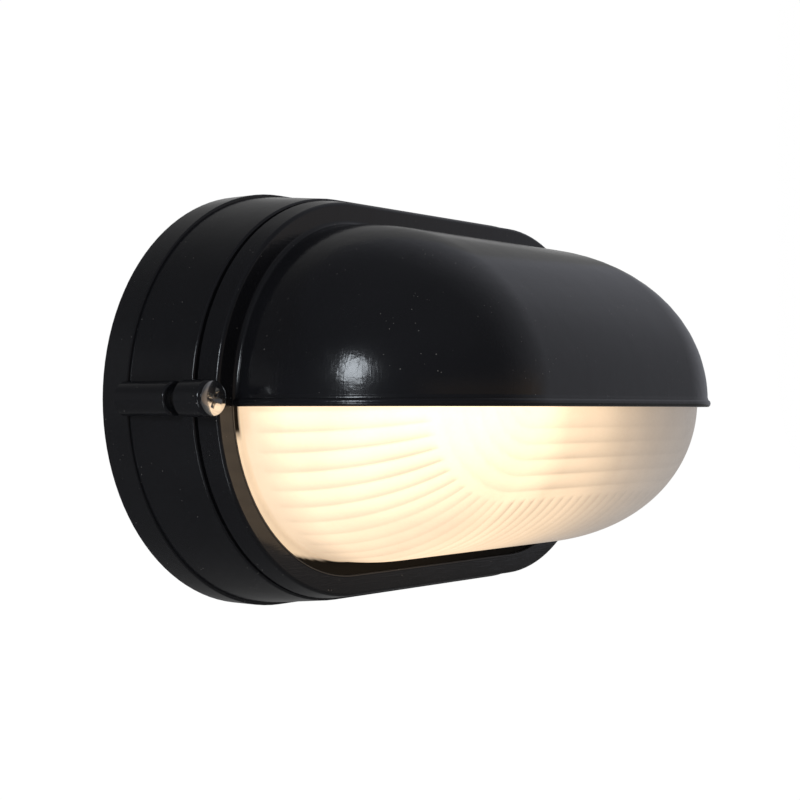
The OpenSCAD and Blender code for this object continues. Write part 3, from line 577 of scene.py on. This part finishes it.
CROSS_CORNER = math.atan2(CROSS_ARM, CROSS_REACH)
# Recess: its floor as (share of its reach, share of its depth), and its wall as (share of its reach, depth)
CROSS_FLOOR, CROSS_WALL = (0.42, 0.82), ((0.9, 0.35), (1.0, 0.08))
# Rows on the head: shares of the way from the recess to the dome's fall, and radii on the fall
DOME_SHARES, DOME_TOP_R, DOME_ROWS = (0.0, 0.35, 0.7, 1.0), 3.7, (4.1, 4.4, 4.65, 4.82, 4.93, HEAD_R)
# Rounding under the head as (inwards, height), and the chamfer at the tip
HEAD_UNDER, TIP_LEN, TIP_IN = ((0.1, 0.35), (0.5, 0.0)), 1.0, 0.9


def cross_radius(a):
    """Distance from the screw's middle to the edge of its cross recess."""
    a %= math.pi / 2
    a = min(a, math.pi / 2 - a)
    return CROSS_REACH / math.cos(a) if a <= CROSS_CORNER + 1e-9 else CROSS_ARM / math.sin(a)


def head_height(r):
    """Height of the domed head at a radius."""
    return HEAD_SIDE + (HEAD_H - HEAD_SIDE) * (1 - (r / HEAD_R) ** DOME_POWER) ** (1 / DOME_ROUND)


def screw_section(a):
    """Section of a screw at an angle, from the middle of its recess to the tip: (radius, height)."""
    reach = cross_radius(a)
    lip = reach + CROSS_LIP
    floor_reach, floor_depth = CROSS_FLOOR
    line = [(0.0, HEAD_H - CROSS_DEPTH), (reach * floor_reach, HEAD_H - CROSS_DEPTH * floor_depth)]
    line += [(reach * share, head_height(reach) - depth) for share, depth in CROSS_WALL]
    top = [lip * (1 - t) + DOME_TOP_R * t for t in DOME_SHARES]
    line += [(r, head_height(r)) for r in (*top, *DOME_ROWS)]
    line += [(HEAD_R - inwards, height) for inwards, height in HEAD_UNDER]
    line += [(SHANK_R, 0.0), (SHANK_R, TIP_LEN - SHANK_LEN)]
    line += [(SHANK_R - TIP_IN, -SHANK_LEN), (0.0, -SHANK_LEN)]
    return line


def build_screws(steps=5):
    """Pan head screws with cross recesses, one at each end, and their shanks."""
    octant = [0.0, CROSS_CORNER * 0.5, CROSS_CORNER]
    octant += [CROSS_CORNER + (math.pi / 4 - CROSS_CORNER) * i / steps for i in range(1, steps + 1)]
    quarter = octant + [math.pi / 2 - a for a in reversed(octant[1:-1])]
    angles = [q * math.pi / 2 + a for q in range(4) for a in quarter]
    rows = len(screw_section(0.0))
    verts, faces = [], []
    for side in (-1, 1):
        faces += skin(len(angles), rows, start=len(verts), ring=False)
        for a in angles:
            along, up = math.cos(a + CROSS_TURN), math.sin(a + CROSS_TURN)
            verts += [(side * SCREW_X + r * along, -(EAR_FRONT + h), r * up) for r, h in screw_section(a)]
    piece("pan_screws", verts, faces, "stainless", ["cover_screws"], sharp=38)


def build_bead(steps=60, round_steps=14):
    """Rounded bead along the hood's lower edge, laid over the plain one of the solid."""
    low, high = -HOOD_DROP - BEAD_TALLER, BEAD_H - HOOD_DROP + BEAD_TALLER
    half = [squared_ellipse(HOOD_R, HOOD_D, HOOD_POWER, 0.5 * math.pi * i / steps) for i in range(steps + 1)]
    half[0] = (half[0][0], BEZEL_FRONT - BEAD_SINK)
    path = [(-HALF_STRAIGHT - r, d) for r, d in half] + [(HALF_STRAIGHT + r, d) for r, d in reversed(half)]
    section = [(-BEAD_BACK, low), (-BEAD_BACK, high + BEAD_FILLET[0][1])]
    section += [(out, high + up) for out, up in BEAD_FILLET]
    for i in range(1, round_steps + 1):
        b = math.pi * (0.5 - i / round_steps)
        proud = (BEAD_PROUD + BEAD_PROUDER) * math.cos(b)
        section.append((proud, (low + high) / 2 + (high - low) / 2 * math.sin(b)))
    verts = []
    for i, (x, d) in enumerate(path):
        before, after = path[max(i - 1, 0)], path[min(i + 1, len(path) - 1)]
        tx, td = after[0] - before[0], after[1] - before[1]
        size = math.hypot(tx, td)
        verts += [(x - out * td / size, -(d + out * tx / size), z) for out, z in section]
    piece("hood_bead", verts, rod(len(path), len(section)), "black_coat", [], sharp=50)


def build_edge(steps=48, round_steps=12):
    """Rounded edge of the cover's opening below the hood, laid over the sharp one of the solid."""
    start = math.asin(HOOD_DROP / OPENING_R)
    turn = math.pi / 2 - start
    path = [(-HALF_STRAIGHT, math.pi + start + turn * i / steps) for i in range(steps + 1)]
    path += [(HALF_STRAIGHT, math.pi * 1.5 + turn * i / steps) for i in range(steps + 1)]
    verts = []
    for cx, a in path:
        for j in range(round_steps):
            b = 2 * math.pi * j / round_steps
            r = OPENING_R + EDGE_R * (EDGE_SINK + math.cos(b))
            depth = BEZEL_FRONT - EDGE_R * (EDGE_SINK + math.sin(b))
            verts.append((cx + r * math.cos(a), -depth, r * math.sin(a)))
    piece("opening_edge", verts, rod(len(path), round_steps), "black_coat", [], sharp=50)


build_glass()
build_screws()
build_bead()
build_edge()


# Stage, light and camera

def pale_paper():
    """Pale paper, white to the eye; in reflections it is dim, and brighter to the right."""
    white, cover = 1.04, 0.97
    m = Nodes(bpy.data.materials.new("pale_paper"))
    path = m.new("ShaderNodeLightPath").outputs
    axes = m.axes()
    clear = m.math("MAXIMUM", path["Is Camera Ray"], path["Is Transmission Ray"])
    seen = m.math("MAXIMUM", clear, path["Is Glossy Ray"])
    across = m.spread(axes["X"], (-1.0, 1.6), (0.13, 0.44))
    above_floor = m.spread(axes["Z"], (-0.42, -0.2))
    ground = m.math("MAXIMUM", above_floor, m.spread(axes["X"], (-0.9, -0.1), (0.8, 0.40)))
    height = m.math("MULTIPLY", ground, m.spread(axes["Z"], (0.5, 1.1), (1.0, 0.5)))
    mirrored = m.math("MULTIPLY", across, height)
    m.set(Base_Color=m.ramp(m.noise(40.0, 3.0), (0.80, 0.80, 0.80), (0.84, 0.84, 0.84)), Roughness=0.9)
    shine = m.new("ShaderNodeEmission")
    m.feed(shine.inputs["Strength"], m.math("MAXIMUM", m.math("MULTIPLY", clear, white), mirrored))
    both = m.new("ShaderNodeMixShader")
    m.feed(both.inputs[0], m.math("MULTIPLY", seen, cover))
    m.feed(both.inputs[1], m.bsdf.outputs[0])
    m.feed(both.inputs[2], shine.outputs[0])
    m.feed(m.tree.nodes["Material Output"].inputs["Surface"], both.outputs[0])
    return m.owner


def backdrop():
    """Floor that curves up into a back wall."""
    floor, back, near, top, left, right = -0.42, 1.4, -2.6, 2.6, -3.0, 3.5
    bend, bend_steps = 0.5, 12
    line = [(near, floor), (back - bend, floor)]
    for i in range(1, bend_steps + 1):
        a = math.pi / 2 * i / bend_steps
        line.append((back - bend + bend * math.sin(a), floor + bend - bend * math.cos(a)))
    line.append((back, top))
    verts = [(x, y, z) for y, z in line for x in (right, left)]
    mesh = bpy.data.meshes.new("backdrop")
    mesh.from_pydata(verts, [], skin(len(line), 2, closed=False, ring=False))
    for polygon in mesh.polygons:
        polygon.use_smooth = True
    mesh.materials.append(pale_paper())
    obj = bpy.data.objects.new("backdrop", mesh)
    scene.collection.objects.link(obj)


def softbox(name, place, target, size, power, colour):
    """Soft oval lamp at a place, turned to a target."""
    lamp = bpy.data.lights.new(name, "AREA")
    lamp.shape, lamp.size, lamp.size_y = "ELLIPSE", size[0], size[1]
    lamp.energy, lamp.color = power, colour
    obj = bpy.data.objects.new(name, lamp)
    obj.location = place
    obj.rotation_euler = (Vector(target) - Vector(place)).to_track_quat("-Z", "Y").to_euler()
    scene.collection.objects.link(obj)


def world():
    """Studio: white to the eye, dim all round, brighter overhead and to the right, warm in front."""
    white, cool, warm_tint = (1.0, 1.0, 1.0), (0.95, 0.97, 1.07), (1.1, 0.88, 0.72)
    all_round, warm_level = 0.075, 0.1
    w = Nodes(bpy.data.worlds.new("studio"), "Generated")
    scene.world = w.owner
    axes = w.axes()
    over = w.spread(axes["Z"], (0.1, 1.0), (0.0, 0.06))
    right = w.spread(axes["X"], (0.1, 0.95), (0.0, 0.28))
    behind = w.spread(axes["Y"], (-0.1, 0.35), (1.0, 0.78))
    level = w.math("MULTIPLY", w.math("ADD", w.math("ADD", over, right), all_round), behind)
    front = w.spread(axes["Y"], (-0.5, -0.85))
    warm = w.math("MULTIPLY", front, w.spread(axes["Z"], (0.35, 0.05)))
    seen = w.new("ShaderNodeLightPath").outputs["Is Camera Ray"]
    sky = w.tree.nodes["Background"]
    w.feed(sky.inputs["Color"], w.mix(seen, w.mix(warm, cool, warm_tint), white))
    w.feed(sky.inputs["Strength"], w.math("MAXIMUM", seen, w.math("MULTIPLY_ADD", warm, warm_level, level)))


def camera():
    """The photo's camera."""
    data = bpy.data.cameras.new("photo_camera")
    data.sensor_width, data.lens = SENSOR, FOCAL_PX / PHOTO_PX * SENSOR
    data.shift_y = SHIFT_PX / PHOTO_PX
    data.clip_start, data.clip_end = 0.01, 50.0
    obj = bpy.data.objects.new("photo_camera", data)
    obj.location = CAMERA_PLACE
    obj.rotation_euler = Vector(CAMERA_WAY).to_track_quat("-Z", "Y").to_euler()
    scene.collection.objects.link(obj)
    scene.camera = obj


backdrop()
softbox("key", place=(-1.36, -0.254, 0.43), target=(-0.09, -0.08, 0.01), size=(0.25, 0.40), power=3.6,
        colour=(0.86, 0.93, 1.0))
softbox("low", place=(-0.55, -0.13, -0.25), target=(-0.11, -0.04, -0.03), size=(0.05, 0.40), power=0.3,
        colour=(0.88, 0.94, 1.0))
world()
camera()
scene.view_settings.view_transform = "Standard"
